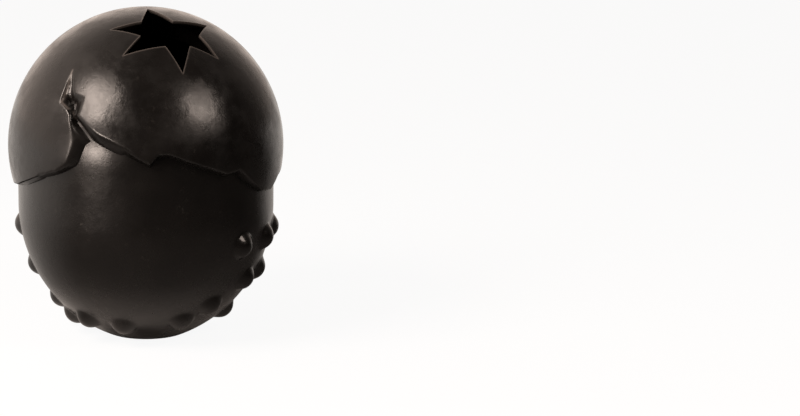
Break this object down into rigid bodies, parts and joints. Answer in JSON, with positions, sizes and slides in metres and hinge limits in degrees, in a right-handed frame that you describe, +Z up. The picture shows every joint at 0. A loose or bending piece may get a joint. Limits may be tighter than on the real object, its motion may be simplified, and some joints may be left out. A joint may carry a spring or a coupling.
{
  "type": "treat dispensing ball",
  "caption": "Hollow rubber treat ball shaped like an egg, with a cracked shell layer, rounded nubs and a star mouth whose flaps bend to let treats in and out.",
  "frame": {"origin": "centre of the flat foot that the ball stands on", "axes": "+Z up along the ball's own axis, -Y towards the side that the star mouth leans to, +X to the right of that"},
  "size_m": [0.1, 0.0999, 0.1198],
  "materials": {
    "ball_rubber": "satin matte",
    "ring_rubber": "satin matte",
    "shell_rubber": "satin matte",
    "flap_rubber": "satin matte"
  },
  "bodies": {
    "ball": {"ball_body": "ball_rubber", "mouth_ring": "ring_rubber", "shell_cap": "shell_rubber"},
    "flap_1": {"mouth_flap_1": "flap_rubber"},
    "flap_2": {"mouth_flap_2": "flap_rubber"},
    "flap_3": {"mouth_flap_3": "flap_rubber"},
    "flap_4": {"mouth_flap_4": "flap_rubber"},
    "flap_5": {"mouth_flap_5": "flap_rubber"},
    "flap_6": {"mouth_flap_6": "flap_rubber"}
  },
  "joints": [
    {"name": "flap_1_bend", "type": "hinge", "parent": "ball", "child": "flap_1", "pos_m": [0.00768, -0.03391, 0.10301], "axis": [0.8941, 0.4043, 0.1928], "range_deg": [-45, 35], "stiffness_Nm_per_rad": 0.02},
    {"name": "flap_2_bend", "type": "hinge", "parent": "ball", "child": "flap_2", "pos_m": [0.01782, -0.0217, 0.10879], "axis": [0.1525, 0.892, 0.4255], "range_deg": [-45, 35], "stiffness_Nm_per_rad": 0.02},
    {"name": "flap_3_bend", "type": "hinge", "parent": "ball", "child": "flap_3", "pos_m": [0.00948, -0.00663, 0.11634], "axis": [-0.829, 0.5047, 0.2408], "range_deg": [-45, 35], "stiffness_Nm_per_rad": 0.02},
    {"name": "flap_4_bend", "type": "hinge", "parent": "ball", "child": "flap_4", "pos_m": [-0.00951, -0.00577, 0.11649], "axis": [-0.8349, -0.4968, -0.2369], "range_deg": [-45, 35], "stiffness_Nm_per_rad": 0.02},
    {"name": "flap_5_bend", "type": "hinge", "parent": "ball", "child": "flap_5", "pos_m": [-0.01826, -0.01864, 0.11026], "axis": [-0.0187, -0.9024, -0.4305], "range_deg": [-45, 35], "stiffness_Nm_per_rad": 0.02},
    {"name": "flap_6_bend", "type": "hinge", "parent": "ball", "child": "flap_6", "pos_m": [-0.00969, -0.03194, 0.10422], "axis": [0.8302, -0.5031, -0.24], "range_deg": [-45, 35], "stiffness_Nm_per_rad": 0.02}
  ]
}
